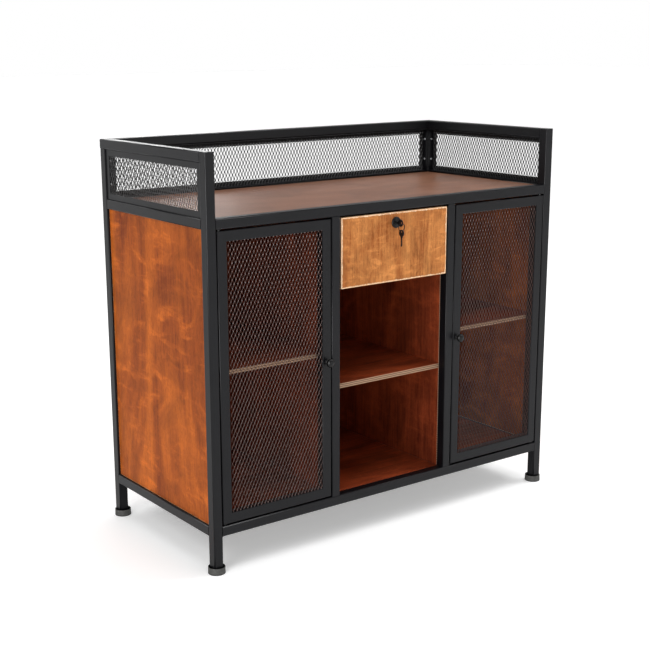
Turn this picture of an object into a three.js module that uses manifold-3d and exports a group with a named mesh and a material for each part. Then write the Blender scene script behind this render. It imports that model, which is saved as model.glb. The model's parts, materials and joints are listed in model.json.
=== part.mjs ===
// Sideboard buffet: a welded square-tube frame with inset wooden panels, two mesh doors,
// a lockable drawer over an open bay, and a mesh gallery round the top deck.
//
// Units are millimetres and +Z is up. The origin is on the floor, at the middle of the
// bounding box. Inside the cabinet group, x runs left to right from the middle, y runs
// from the frame's front face towards the back, and z runs up from the floor.

import * as THREE from 'three';
import { mergeVertices } from 'three/addons/utils/BufferGeometryUtils.js';
import Module from 'manifold-3d';

const wasm = await Module();
wasm.setup();

// ---------------------------------------------------------------- driving dimensions

// Frame
const WIDTH = 1100;
const DEPTH = 500;
const HEIGHT = 1000;
const TUBE = 25;
const TUBE_WALL = 1.5;
const TUBE_CORNER = 2.5;
const BOTTOM_RAIL_BASE = 93;
const GALLERY_HEIGHT = 149;
const CENTRE_BAY_WIDTH = 348;

// Feet
const FOOT_HEIGHT = 17;
const FOOT_WALL = 1.8;
const FOOT_FLARE = 0.5;
const FOOT_FLOOR = 3;
const FOOT_INSET = 1.5;
const FOOT_CLEARANCE = 0.4;

// Wooden panels, boards and shelves
const PANEL_THICKNESS = 12;
const SIDE_PANEL_RECESS = 6;
const BOARD_THICKNESS = 15;
const DECK_DROP = 2.5;
const PARTITION_THICKNESS = 12;
const SIDE_SHELF_THICKNESS = 12;
const SIDE_SHELF_TOP = 490;
const SHELF_DOOR_GAP = 3;
const CENTRE_SHELF_THICKNESS = 12.5;
const CENTRE_SHELF_TOP = 402;

// Gallery panels
const ANGLE_FLANGE = 15;
const ANGLE_THICKNESS = 2;
const ANGLE_RECESS = 3;
const MESH_THICKNESS = 1;
const MESH_FIT = 0.4;

// Doors
const DOOR_SIDE_GAP = 3;
const DOOR_END_GAP = 4;
const DOOR_MESH_RECESS = 3;
const PIVOT_INSET = 7.5;
const PIN_RADIUS = 4;
const PIN_CLEARANCE = 0.3;
const PIN_ENGAGEMENT = 14;
const KNOB_RADIUS = 10.8;
const KNOB_LENGTH = 22;
const KNOB_NECK_RADIUS = 5;
const KNOB_BASE_RADIUS = 7;

// Drawer
const DRAWER_FRONT_HEIGHT = 174;
const DRAWER_FRONT_THICKNESS = 15;
const DRAWER_SIDE_GAP = 3.5;
const DRAWER_TOP_GAP = 4.5;
const DRAWER_BACK_GAP = 60;
const DRAWER_WALL = 12;
const DRAWER_BOX_HEIGHT = 130;
const DRAWER_BOX_DROP = 12.5;
const DRAWER_BOTTOM_THICKNESS = 6;
const DRAWER_BOTTOM_RISE = 6;
const SLIDE_SPACE = 12.7;
const SLIDE_HEIGHT = 36;
const SLIDE_RISE = 50;
const SLIDE_SHEET = 1.2;
const SLIDE_CLEARANCE = 1;

// Lock and keys
const LOCK_DROP = 25.5;
const LOCK_FLANGE_RADIUS = 14;
const LOCK_FLANGE_THICKNESS = 3.5;
const LOCK_BARREL_RADIUS = 9;
const LOCK_BARREL_CLEARANCE = 0.3;
const PLUG_RADIUS = 6;
const PLUG_CLEARANCE = 0.3;
const PLUG_RECESS = 0.6;
const CAM_WIDTH = 13;
const CAM_THICKNESS = 2;
const CAM_RAIL_GAP = 1;
const CAM_DECK_GAP = 1.5;
const KEY_THICKNESS = 2;
const KEY_BOW_RADIUS = 9;
const KEY_BLADE_WIDTH = 5;
const KEY_BLADE_LENGTH = 25;
const KEY_STANDOFF = 6;
const KEY_HOLE_RADIUS = 2.6;
const KEY_HOLE_OFFSET = 4;
const KEYWAY_CLEARANCE = 0.3;
const RING_RADIUS = 9;
const RING_WIRE_RADIUS = 0.9;
const RING_CLEARANCE = 0.3;

// ---------------------------------------------------------------- derived dimensions

const HALF_WIDTH = WIDTH / 2;
const INNER_HALF = HALF_WIDTH - TUBE;
const BACK_FACE = DEPTH - TUBE;
const BOTTOM_RAIL_TOP = BOTTOM_RAIL_BASE + TUBE;
const DECK_RAIL_TOP = HEIGHT - GALLERY_HEIGHT;
const DECK_RAIL_BASE = DECK_RAIL_TOP - TUBE;
const GALLERY_RAIL_BASE = HEIGHT - TUBE;
const DECK_TOP = DECK_RAIL_TOP - DECK_DROP;
const DECK_UNDERSIDE = DECK_TOP - BOARD_THICKNESS;
const BAY_HALF = CENTRE_BAY_WIDTH / 2;
const PARTITION_FACE = BAY_HALF + PARTITION_THICKNESS;
const SIDE_PANEL_FACE = HALF_WIDTH - SIDE_PANEL_RECESS - PANEL_THICKNESS;
const DOOR_OUTER = INNER_HALF - DOOR_SIDE_GAP;
const DOOR_INNER = BAY_HALF + TUBE + DOOR_SIDE_GAP;
const DOOR_BASE = BOTTOM_RAIL_TOP + DOOR_END_GAP;
const DOOR_TOP = DECK_RAIL_BASE - DOOR_END_GAP;
const PIVOT_X = DOOR_OUTER - PIVOT_INSET;
const DRAWER_FRONT_TOP = DECK_RAIL_BASE - DRAWER_TOP_GAP;
const DRAWER_FRONT_BASE = DRAWER_FRONT_TOP - DRAWER_FRONT_HEIGHT;
const DRAWER_BOX_BASE = DRAWER_FRONT_BASE + DRAWER_BOX_DROP;
const DRAWER_BOX_TOP = DRAWER_BOX_BASE + DRAWER_BOX_HEIGHT;
const DRAWER_HALF = BAY_HALF - SLIDE_SPACE;
const DRAWER_INNER_HALF = DRAWER_HALF - DRAWER_WALL;
const DRAWER_LENGTH = BACK_FACE - DRAWER_BACK_GAP;
const SLIDE_LENGTH = DRAWER_LENGTH - DRAWER_FRONT_THICKNESS;
const SLIDE_BASE = DRAWER_BOX_BASE + SLIDE_RISE;
const LOCK_Z = DRAWER_FRONT_TOP - LOCK_DROP;
const CAM_FRONT = TUBE + CAM_RAIL_GAP;
const CAM_REACH = DECK_UNDERSIDE - CAM_DECK_GAP - LOCK_Z;
const PLUG_FACE = PLUG_RECESS - LOCK_FLANGE_THICKNESS;
const KEY_BOW_Y = PLUG_FACE - KEY_STANDOFF - KEY_BOW_RADIUS;
const KEY_HOLE_Y = KEY_BOW_Y - KEY_HOLE_OFFSET;
const HANG = KEY_HOLE_RADIUS - RING_WIRE_RADIUS - RING_CLEARANCE;
const RING_TOP_Z = LOCK_Z - HANG;
const RING_BOTTOM_Z = RING_TOP_Z - 2 * RING_RADIUS;
const SPARE_HOLE_Z = RING_BOTTOM_Z - HANG;

// A foot is a round cup whose bore clears the leg's rounded corners.
const FOOT_BORE = (TUBE / 2 - TUBE_CORNER + FOOT_INSET) * Math.SQRT2 + TUBE_CORNER + FOOT_CLEARANCE;
const FOOT_TOP_RADIUS = FOOT_BORE + FOOT_WALL;
const FOOT_BOTTOM_RADIUS = FOOT_TOP_RADIUS + FOOT_FLARE;

// The hanging key is the furthest point in front of the frame, and the feet stand out behind it.
const FRONT_REACH = KEY_BOW_RADIUS - KEY_HOLE_Y;
const BACK_REACH = FOOT_BOTTOM_RADIUS - TUBE / 2 - FOOT_INSET;

const SIDES = [['left', -1], ['right', 1]];

// ---------------------------------------------------------------- materials

function finish(color, roughness, metalness) {
  return new THREE.MeshStandardMaterial({ color, roughness, metalness });
}

const BLACK_STEEL = finish(0x1d1d1f, 0.5, 0.3);
const BLACK_MESH = finish(0x19191a, 0.5, 0.4);
const BLACK_FITTING = finish(0x101012, 0.35, 0.4);
const FOOT_RUBBER = finish(0x3c3c3a, 0.8, 0);
const ZINC = finish(0xa9adb0, 0.35, 0.9);
const ORANGE_PLY = finish(0xb8622f, 0.5, 0);
const DARK_PLY = finish(0x6e2f18, 0.5, 0);
const DECK_PLY = finish(0x9a5f45, 0.4, 0);
const HONEY_WOOD = finish(0xcb8c50, 0.6, 0);
const DRAWER_WOOD = finish(0xc79d6c, 0.7, 0);

// ---------------------------------------------------------------- solids and booleans

function toSolid(geometry) {
  const bare = geometry.clone();
  bare.deleteAttribute('normal');
  bare.deleteAttribute('uv');
  const merged = mergeVertices(bare, 1e-4);
  const mesh = new wasm.Mesh({
    numProp: 3,
    vertProperties: new Float32Array(merged.attributes.position.array),
    triVerts: new Uint32Array(merged.index.array),
  });
  return new wasm.Manifold(mesh);
}

function toGeometry(solid) {
  const mesh = solid.getMesh();
  const geometry = new THREE.BufferGeometry();
  geometry.setAttribute('position', new THREE.BufferAttribute(new Float32Array(mesh.vertProperties), 3));
  geometry.setIndex(new THREE.BufferAttribute(new Uint32Array(mesh.triVerts), 1));
  geometry.computeVertexNormals();
  return geometry;
}

function cut(base, ...tools) {
  const rest = tools.reduce((solid, tool) => solid.subtract(toSolid(tool)), toSolid(base));
  return toGeometry(rest);
}

function join(...pieces) {
  const [first, ...others] = pieces.map(toSolid);
  return toGeometry(others.reduce((solid, piece) => solid.add(piece), first));
}

// An axis-aligned block between two corners, given in any order.
function block([x0, x1], [y0, y1], [z0, z1]) {
  const geometry = new THREE.BoxGeometry(Math.abs(x1 - x0), Math.abs(y1 - y0), Math.abs(z1 - z0));
  return geometry.translate((x0 + x1) / 2, (y0 + y1) / 2, (z0 + z1) / 2);
}

function rod(radius, [z0, z1], x, y, segments = 24) {
  const geometry = new THREE.CylinderGeometry(radius, radius, z1 - z0, segments);
  return geometry.rotateX(Math.PI / 2).translate(x, y, (z0 + z1) / 2);
}

// A turned piece whose axis runs front to back; points are [radius, y].
function turned(points, segments = 32) {
  return new THREE.LatheGeometry(points.map(([r, y]) => new THREE.Vector2(r, y)), segments);
}

function roundedRectangle(width, height, radius) {
  const shape = new THREE.Shape();
  const u = width / 2 - radius;
  const v = height / 2 - radius;
  shape.absarc(u, v, radius, 0, Math.PI / 2);
  shape.absarc(-u, v, radius, Math.PI / 2, Math.PI);
  shape.absarc(-u, -v, radius, Math.PI, 1.5 * Math.PI);
  shape.absarc(u, -v, radius, 1.5 * Math.PI, 2 * Math.PI);
  return shape;
}

function extruded(shape, depth) {
  return new THREE.ExtrudeGeometry(shape, { depth, bevelEnabled: false, curveSegments: 3 });
}

function squareHole(size) {
  const h = size / 2;
  const corners = [[-h, -h], [-h, h], [h, h], [h, -h]];
  return new THREE.Path(corners.map(([x, y]) => new THREE.Vector2(x, y)));
}

function tubeBlank(length, hollow) {
  const section = roundedRectangle(TUBE, TUBE, TUBE_CORNER);
  if (hollow) {
    section.holes.push(squareHole(TUBE - 2 * TUBE_WALL));
  }
  return extruded(section, length);
}

function uprightTube([z0, z1], x, y, hollow = true) {
  return tubeBlank(z1 - z0, hollow).translate(x, y, z0);
}

function crossTube([x0, x1], y, z) {
  return tubeBlank(x1 - x0, true).rotateY(Math.PI / 2).translate(x0, y, z);
}

function depthTube([y0, y1], x, z) {
  return tubeBlank(y1 - y0, true).rotateX(-Math.PI / 2).translate(x, y0, z);
}

// ---------------------------------------------------------------- assembly helpers

const cabinet = new THREE.Group();
const pair = (side, a, b) => [side * a, side * b];

function add(name, geometry, material) {
  const mesh = new THREE.Mesh(geometry, material);
  mesh.name = name;
  cabinet.add(mesh);
}

// ---------------------------------------------------------------- frame

const POST_X = HALF_WIDTH - TUBE / 2;
const POST_FRONT_Y = TUBE / 2;
const POST_BACK_Y = DEPTH - TUBE / 2;

// A front post is capped at the top and open at the bottom.
function frontPost(x) {
  const half = TUBE / 2 - TUBE_WALL;
  const outside = uprightTube([FOOT_FLOOR, HEIGHT], x, POST_FRONT_Y, false);
  const inside = block(
    [x - half, x + half],
    [POST_FRONT_Y - half, POST_FRONT_Y + half],
    [FOOT_FLOOR - 1, HEIGHT - TUBE_WALL],
  );
  return cut(outside, inside);
}

function foot(x, y) {
  const geometry = turned([
    [0, 0],
    [FOOT_BOTTOM_RADIUS, 0],
    [FOOT_TOP_RADIUS, FOOT_HEIGHT],
    [FOOT_BORE, FOOT_HEIGHT],
    [FOOT_BORE, FOOT_FLOOR],
    [0, FOOT_FLOOR],
  ]);
  return geometry.rotateX(Math.PI / 2).translate(x, y, 0);
}

function addPostsAndFeet() {
  for (const [side, sign] of SIDES) {
    const x = sign * POST_X;
    const footX = x - sign * FOOT_INSET;
    add(`post_front_${side}`, frontPost(x), BLACK_STEEL);
    add(`post_back_${side}`, uprightTube([FOOT_FLOOR, GALLERY_RAIL_BASE], x, POST_BACK_Y), BLACK_STEEL);
    add(`foot_front_${side}`, foot(footX, POST_FRONT_Y + FOOT_INSET), FOOT_RUBBER);
    add(`foot_back_${side}`, foot(footX, POST_BACK_Y - FOOT_INSET), FOOT_RUBBER);
  }
}

function addRailRing(level, base) {
  const z = base + TUBE / 2;
  add(`${level}_rail_front`, crossTube([-INNER_HALF, INNER_HALF], POST_FRONT_Y, z), BLACK_STEEL);
  add(`${level}_rail_back`, crossTube([-INNER_HALF, INNER_HALF], POST_BACK_Y, z), BLACK_STEEL);
  for (const [side, sign] of SIDES) {
    add(`${level}_rail_${side}`, depthTube([TUBE, BACK_FACE], sign * POST_X, z), BLACK_STEEL);
  }
}

function addMidPosts() {
  for (const [side, sign] of SIDES) {
    const x = sign * (BAY_HALF + TUBE / 2);
    add(`mid_post_${side}`, uprightTube([BOTTOM_RAIL_TOP, DECK_RAIL_BASE], x, POST_FRONT_Y), BLACK_STEEL);
  }
}

// A flat U, open to the front, whose sides stand in from the frame's outside by inset.
function uShape(inset, z0, z1) {
  const outer = block([-HALF_WIDTH + inset, HALF_WIDTH - inset], [TUBE, DEPTH - inset], [z0, z1]);
  const reach = TUBE - inset;
  const gap = block(
    [-HALF_WIDTH + reach, HALF_WIDTH - reach],
    [TUBE - 1, DEPTH - reach],
    [z0 - 1, z1 + 1],
  );
  return cut(outer, gap);
}

// The top rail is one tube, mitred over the back posts, and its ends butt on the front posts.
function galleryRail() {
  const outside = uShape(0, GALLERY_RAIL_BASE, HEIGHT);
  const inside = uShape(TUBE_WALL, GALLERY_RAIL_BASE + TUBE_WALL, HEIGHT - TUBE_WALL);
  const slit = inside.clone().translate(0, -1, 0);
  return cut(outside, inside, slit);
}

// ---------------------------------------------------------------- wooden parts

function addPanelsAndBoards() {
  const inside = [-INNER_HALF, INNER_HALF];
  const between = [TUBE, BACK_FACE];
  const wallHeight = [BOTTOM_RAIL_TOP, DECK_RAIL_BASE];
  const backPanel = block(inside, [BACK_FACE, BACK_FACE + PANEL_THICKNESS], wallHeight);
  const deck = block(inside, between, [DECK_UNDERSIDE, DECK_TOP]);
  const bottom = block(inside, between, [BOTTOM_RAIL_TOP - BOARD_THICKNESS, BOTTOM_RAIL_TOP]);
  add('back_panel', backPanel, DARK_PLY);
  add('deck_board', deck, DECK_PLY);
  add('bottom_board', bottom, DARK_PLY);
  for (const [side, sign] of SIDES) {
    const panelX = pair(sign, SIDE_PANEL_FACE, SIDE_PANEL_FACE + PANEL_THICKNESS);
    add(`side_panel_${side}`, block(panelX, between, wallHeight), ORANGE_PLY);
    const partitionX = pair(sign, BAY_HALF, PARTITION_FACE);
    const partitionZ = [BOTTOM_RAIL_TOP, DECK_UNDERSIDE];
    add(`partition_${side}`, block(partitionX, between, partitionZ), DARK_PLY);
  }
}

function addShelves() {
  const centreZ = [CENTRE_SHELF_TOP - CENTRE_SHELF_THICKNESS, CENTRE_SHELF_TOP];
  add('shelf_centre', block([-BAY_HALF, BAY_HALF], [TUBE, BACK_FACE], centreZ), DARK_PLY);
  const sideZ = [SIDE_SHELF_TOP - SIDE_SHELF_THICKNESS, SIDE_SHELF_TOP];
  for (const [side, sign] of SIDES) {
    const x = pair(sign, PARTITION_FACE, SIDE_PANEL_FACE);
    add(`shelf_${side}`, block(x, [TUBE + SHELF_DOOR_GAP, BACK_FACE], sideZ), DARK_PLY);
  }
}

// ---------------------------------------------------------------- gallery panels

const GALLERY_Z = [DECK_RAIL_TOP, GALLERY_RAIL_BASE];

const shrink = ([a, b], by) => [a + by, b - by];

// Both ends of a span that starts at the frame's outside, at a depth from it.
const fromOutside = (outside, inward, a, b) => [outside + inward * a, outside + inward * b];

// A frame of L-angle: a flange parallel to the mesh and a leg that fills the tube's depth.
function angleFrame(spanAt) {
  const sheet = [ANGLE_RECESS, ANGLE_RECESS + ANGLE_THICKNESS];
  const outside = spanAt([ANGLE_RECESS, TUBE], 0);
  const hollow = spanAt([sheet[1], TUBE + 1], ANGLE_THICKNESS);
  const opening = spanAt([sheet[0] - 1, sheet[1] + 1], ANGLE_FLANGE);
  return cut(outside, hollow, opening);
}

function gallerySheet(spanAt) {
  const front = ANGLE_RECESS + ANGLE_THICKNESS;
  return spanAt([front, front + MESH_THICKNESS], ANGLE_THICKNESS + MESH_FIT);
}

function addGallery() {
  add('gallery_rail', galleryRail(), BLACK_STEEL);
  const atBack = ([a, b], inset) => block(
    shrink([-INNER_HALF, INNER_HALF], inset),
    fromOutside(DEPTH, -1, a, b),
    shrink(GALLERY_Z, inset),
  );
  add('gallery_frame_back', angleFrame(atBack), BLACK_STEEL);
  add('gallery_mesh_back', gallerySheet(atBack), BLACK_MESH);
  for (const [side, sign] of SIDES) {
    const atSide = ([a, b], inset) => block(
      fromOutside(sign * HALF_WIDTH, -sign, a, b),
      shrink([TUBE, BACK_FACE], inset),
      shrink(GALLERY_Z, inset),
    );
    add(`gallery_frame_${side}`, angleFrame(atSide), BLACK_STEEL);
    add(`gallery_mesh_${side}`, gallerySheet(atSide), BLACK_MESH);
  }
}

// ---------------------------------------------------------------- doors

// Four mitred tubes in one hollow frame, with a hole for a pivot pin at each end. The upright
// edges are rounded, which lets the hinge edge turn clear of the post.
function doorFrame(sign) {
  const x = pair(sign, DOOR_INNER, DOOR_OUTER).sort((a, b) => a - b);
  const z = [DOOR_BASE, DOOR_TOP];
  const plan = roundedRectangle(DOOR_OUTER - DOOR_INNER, TUBE, TUBE_CORNER);
  const outside = extruded(plan, DOOR_TOP - DOOR_BASE);
  outside.translate((x[0] + x[1]) / 2, TUBE / 2, DOOR_BASE);
  const opening = block(shrink(x, TUBE), [-1, TUBE + 1], shrink(z, TUBE));
  const core = block(shrink(x, TUBE_WALL), shrink([0, TUBE], TUBE_WALL), shrink(z, TUBE_WALL));
  const island = block(shrink(x, TUBE - TUBE_WALL), [-1, TUBE + 1], shrink(z, TUBE - TUBE_WALL));
  const cavity = cut(core, island);
  const hole = rod(PIN_RADIUS + PIN_CLEARANCE, [DOOR_BASE - 1, DOOR_TOP + 1], sign * PIVOT_X, PIVOT_INSET);
  return cut(outside, opening, cavity, hole);
}

function doorMesh(sign) {
  const x = pair(sign, DOOR_INNER + TUBE, DOOR_OUTER - TUBE);
  const y = [DOOR_MESH_RECESS, DOOR_MESH_RECESS + MESH_THICKNESS];
  return block(x, y, [DOOR_BASE + TUBE, DOOR_TOP - TUBE]);
}

function doorKnob(sign) {
  const rim = 0.72 * KNOB_LENGTH;
  const geometry = turned([
    [0, -KNOB_LENGTH],
    [0.62 * KNOB_RADIUS, -0.96 * KNOB_LENGTH],
    [KNOB_RADIUS, -rim],
    [0.9 * KNOB_RADIUS, -0.5 * KNOB_LENGTH],
    [KNOB_NECK_RADIUS, -0.36 * KNOB_LENGTH],
    [KNOB_BASE_RADIUS, -2],
    [KNOB_BASE_RADIUS, 0],
    [0, 0],
  ], 20);
  const x = sign * (DOOR_INNER + TUBE / 2);
  return geometry.translate(x, 0, (DOOR_BASE + DOOR_TOP) / 2);
}

function addDoors() {
  for (const [side, sign] of SIDES) {
    const pinX = sign * PIVOT_X;
    const top = rod(PIN_RADIUS, [DOOR_TOP - PIN_ENGAGEMENT, DECK_RAIL_BASE], pinX, PIVOT_INSET, 16);
    const base = rod(PIN_RADIUS, [BOTTOM_RAIL_TOP, DOOR_BASE + PIN_ENGAGEMENT], pinX, PIVOT_INSET, 16);
    add(`door_frame_${side}`, doorFrame(sign), BLACK_STEEL);
    add(`door_mesh_${side}`, doorMesh(sign), BLACK_MESH);
    add(`door_knob_${side}`, doorKnob(sign), BLACK_FITTING);
    add(`hinge_pin_top_${side}`, top, ZINC);
    add(`hinge_pin_bottom_${side}`, base, ZINC);
  }
}

// ---------------------------------------------------------------- drawer

function drawerFront() {
  const half = BAY_HALF - DRAWER_SIDE_GAP;
  const board = block([-half, half], [0, DRAWER_FRONT_THICKNESS], [DRAWER_FRONT_BASE, DRAWER_FRONT_TOP]);
  const radius = LOCK_BARREL_RADIUS + LOCK_BARREL_CLEARANCE;
  const bore = new THREE.CylinderGeometry(radius, radius, DRAWER_FRONT_THICKNESS + 2, 32);
  return cut(board, bore.translate(0, DRAWER_FRONT_THICKNESS / 2, LOCK_Z));
}

// A channel open towards one side: faceX is its closed back and openX is its open edge.
function channel(faceX, openX, y, z) {
  const sheet = Math.sign(openX - faceX) * SLIDE_SHEET;
  const outside = block([faceX, openX], y, z);
  const inside = block([faceX + sheet, openX + sheet], [y[0] - 1, y[1] + 1], shrink(z, SLIDE_SHEET));
  return cut(outside, inside);
}

function addSlides() {
  const z = [SLIDE_BASE, SLIDE_BASE + SLIDE_HEIGHT];
  const runnerZ = shrink(z, SLIDE_SHEET + SLIDE_CLEARANCE);
  for (const [side, sign] of SIDES) {
    const wall = sign * BAY_HALF;
    const lip = sign * (DRAWER_HALF + SLIDE_CLEARANCE);
    const fixedY = [TUBE, TUBE + SLIDE_LENGTH];
    add(`slide_channel_${side}`, channel(wall, lip, fixedY, z), ZINC);
    const runnerY = [DRAWER_FRONT_THICKNESS, DRAWER_FRONT_THICKNESS + SLIDE_LENGTH];
    const edge = sign * (BAY_HALF - SLIDE_SHEET - SLIDE_CLEARANCE);
    add(`slide_runner_${side}`, channel(sign * DRAWER_HALF, edge, runnerY, runnerZ), ZINC);
  }
}

function addDrawer() {
  const boxZ = [DRAWER_BOX_BASE, DRAWER_BOX_TOP];
  const innerX = [-DRAWER_INNER_HALF, DRAWER_INNER_HALF];
  const backFront = DRAWER_LENGTH - DRAWER_WALL;
  const floorBase = DRAWER_BOX_BASE + DRAWER_BOTTOM_RISE;
  const floorZ = [floorBase, floorBase + DRAWER_BOTTOM_THICKNESS];
  add('drawer_front', drawerFront(), HONEY_WOOD);
  for (const [side, sign] of SIDES) {
    const x = pair(sign, DRAWER_INNER_HALF, DRAWER_HALF);
    add(`drawer_side_${side}`, block(x, [DRAWER_FRONT_THICKNESS, DRAWER_LENGTH], boxZ), DRAWER_WOOD);
  }
  add('drawer_back', block(innerX, [backFront, DRAWER_LENGTH], boxZ), DRAWER_WOOD);
  add('drawer_bottom', block(innerX, [DRAWER_FRONT_THICKNESS, backFront], floorZ), DRAWER_WOOD);
}

// ---------------------------------------------------------------- lock and keys

function lockHousing() {
  const bore = PLUG_RADIUS + PLUG_CLEARANCE;
  const edge = 1.2;
  const geometry = turned([
    [bore, -LOCK_FLANGE_THICKNESS],
    [LOCK_FLANGE_RADIUS - edge, -LOCK_FLANGE_THICKNESS],
    [LOCK_FLANGE_RADIUS, -LOCK_FLANGE_THICKNESS + edge],
    [LOCK_FLANGE_RADIUS, 0],
    [LOCK_BARREL_RADIUS, 0],
    [LOCK_BARREL_RADIUS, CAM_FRONT - CAM_RAIL_GAP],
    [bore, CAM_FRONT - CAM_RAIL_GAP],
    [bore, -LOCK_FLANGE_THICKNESS],
  ]);
  return geometry.translate(0, 0, LOCK_Z);
}

function lockPlug() {
  const length = CAM_FRONT - PLUG_FACE;
  const barrel = new THREE.CylinderGeometry(PLUG_RADIUS, PLUG_RADIUS, length, 24);
  barrel.translate(0, PLUG_FACE + length / 2, LOCK_Z);
  const halfSlot = KEY_THICKNESS / 2 + KEYWAY_CLEARANCE;
  const halfBlade = KEY_BLADE_WIDTH / 2 + KEYWAY_CLEARANCE;
  const keyway = block(
    [-halfSlot, halfSlot],
    [PLUG_FACE - 1, PLUG_FACE - KEY_STANDOFF + KEY_BLADE_LENGTH + KEYWAY_CLEARANCE],
    [LOCK_Z - halfBlade, LOCK_Z + halfBlade],
  );
  return cut(barrel, keyway);
}

function lockCam() {
  const half = CAM_WIDTH / 2;
  const y = [CAM_FRONT, CAM_FRONT + CAM_THICKNESS];
  const arm = block([0, CAM_REACH], y, [LOCK_Z - half, LOCK_Z + half]);
  const eye = new THREE.CylinderGeometry(half, half, CAM_THICKNESS, 24);
  return join(arm, eye.translate(0, CAM_FRONT + CAM_THICKNESS / 2, LOCK_Z));
}

// A flat key in the YZ plane: a round bow with its hole, and a blade that points along +v.
function keyBlank() {
  const half = KEY_BLADE_WIDTH / 2;
  const spread = Math.asin(half / KEY_BOW_RADIUS);
  const shape = new THREE.Shape();
  shape.absarc(0, 0, KEY_BOW_RADIUS, Math.PI / 2 + spread, 2.5 * Math.PI - spread);
  shape.lineTo(half, KEY_BOW_RADIUS + KEY_BLADE_LENGTH);
  shape.lineTo(-half, KEY_BOW_RADIUS + KEY_BLADE_LENGTH);
  const hole = new THREE.Path();
  hole.absarc(0, -KEY_HOLE_OFFSET, KEY_HOLE_RADIUS, 0, 2 * Math.PI, true);
  shape.holes.push(hole);
  const options = { depth: KEY_THICKNESS, bevelEnabled: false, curveSegments: 24 };
  return new THREE.ExtrudeGeometry(shape, options).translate(0, 0, -KEY_THICKNESS / 2);
}

function addLock() {
  add('lock_housing', lockHousing(), BLACK_FITTING);
  add('lock_plug', lockPlug(), BLACK_FITTING);
  add('lock_cam', lockCam(), ZINC);
  const key = keyBlank().rotateY(Math.PI / 2);
  add('lock_key', key.translate(0, KEY_BOW_Y, LOCK_Z), BLACK_FITTING);
  const ring = new THREE.TorusGeometry(RING_RADIUS, RING_WIRE_RADIUS, 8, 32);
  ring.rotateX(Math.PI / 2).translate(0, KEY_HOLE_Y, (RING_TOP_Z + RING_BOTTOM_Z) / 2);
  add('key_ring', ring, ZINC);
  const spare = keyBlank().rotateY(Math.PI / 2).rotateX(-Math.PI / 2);
  add('spare_key', spare.translate(0, KEY_HOLE_Y, SPARE_HOLE_Z - KEY_HOLE_OFFSET), BLACK_FITTING);
}

// ---------------------------------------------------------------- whole object

addPostsAndFeet();
addRailRing('bottom', BOTTOM_RAIL_BASE);
addRailRing('deck', DECK_RAIL_BASE);
addMidPosts();
addPanelsAndBoards();
addShelves();
addGallery();
addDoors();
addDrawer();
addSlides();
addLock();

cabinet.position.y = (FRONT_REACH - BACK_REACH - DEPTH) / 2;

const group = new THREE.Group();
group.add(cabinet);

export default group;
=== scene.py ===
"""Sideboard buffet: the visible pieces, finishes, light and camera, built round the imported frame."""

import json
import math

import bmesh
import bpy
from bpy.props import FloatProperty, FloatVectorProperty, PointerProperty
from mathutils import Euler, Matrix, Vector


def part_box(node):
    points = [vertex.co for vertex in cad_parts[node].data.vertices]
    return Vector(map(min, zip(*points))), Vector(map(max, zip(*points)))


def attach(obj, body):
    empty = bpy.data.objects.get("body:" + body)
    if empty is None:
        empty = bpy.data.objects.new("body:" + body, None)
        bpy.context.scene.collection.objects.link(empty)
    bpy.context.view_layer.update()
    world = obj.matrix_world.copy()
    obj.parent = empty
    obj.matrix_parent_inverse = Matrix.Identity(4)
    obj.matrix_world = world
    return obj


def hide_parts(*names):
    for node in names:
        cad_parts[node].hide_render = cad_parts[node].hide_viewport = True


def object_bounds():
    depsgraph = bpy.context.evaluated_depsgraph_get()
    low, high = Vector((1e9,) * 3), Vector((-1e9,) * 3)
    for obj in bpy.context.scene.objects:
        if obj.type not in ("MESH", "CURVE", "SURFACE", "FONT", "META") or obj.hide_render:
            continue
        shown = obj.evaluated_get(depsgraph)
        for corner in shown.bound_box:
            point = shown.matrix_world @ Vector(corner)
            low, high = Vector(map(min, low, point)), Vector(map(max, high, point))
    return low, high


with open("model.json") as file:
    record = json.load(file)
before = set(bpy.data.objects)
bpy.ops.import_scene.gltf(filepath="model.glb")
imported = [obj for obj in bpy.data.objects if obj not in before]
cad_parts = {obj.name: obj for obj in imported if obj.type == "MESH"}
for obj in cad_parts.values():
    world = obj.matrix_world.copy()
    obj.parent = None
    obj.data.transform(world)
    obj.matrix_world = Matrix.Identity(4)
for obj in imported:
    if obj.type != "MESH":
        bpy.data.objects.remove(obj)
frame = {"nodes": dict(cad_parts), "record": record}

bl_info = {
    "name": "Sideboard Buffet",
    "version": (1, 0, 0),
    "blender": (4, 5, 0),
    "location": "View3D > Sidebar > Buffet",
    "description": "Builds a steel-framed sideboard with mesh doors, a mesh gallery and a lockable drawer",
    "category": "Object",
}

CAD_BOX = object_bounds()
SIDES = (("left", -1), ("right", 1))
X, Y, Z = Vector((1, 0, 0)), Vector((0, 1, 0)), Vector((0, 0, 1))
NEAR = 1e-5              # places closer than this count as the same
PLY_LAYER = 0.0025       # thickness of one layer in a cut plywood edge
FLOOR_REACH = 40         # the floor's half width, far past the camera's view
HORIZON = (0.25, 0.45)   # how high the surround starts to dim, and where it is dimmest


# ------------------------------------------------------------------ settings


def srgb(red, green, blue):
    """A colour given as 0 to 255 display values, as linear numbers."""
    def linear(value):
        share = value / 255
        return share / 12.92 if share <= 0.04045 else ((share + 0.055) / 1.055) ** 2.4
    return tuple(linear(v) for v in (red, green, blue))


def length(name, default, description):
    return FloatProperty(name=name, description=description, default=default, unit="LENGTH", precision=5)


def angle(name, degrees, description):
    return FloatProperty(
        name=name, description=description, default=math.radians(degrees), subtype="ANGLE", unit="ROTATION")


def power(name, default, description):
    return FloatProperty(name=name, description=description, default=default, unit="POWER")


def colour(name, default, description):
    return FloatVectorProperty(
        name=name, description=description, default=srgb(*default), subtype="COLOR", size=3, min=0, max=1)


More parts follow.
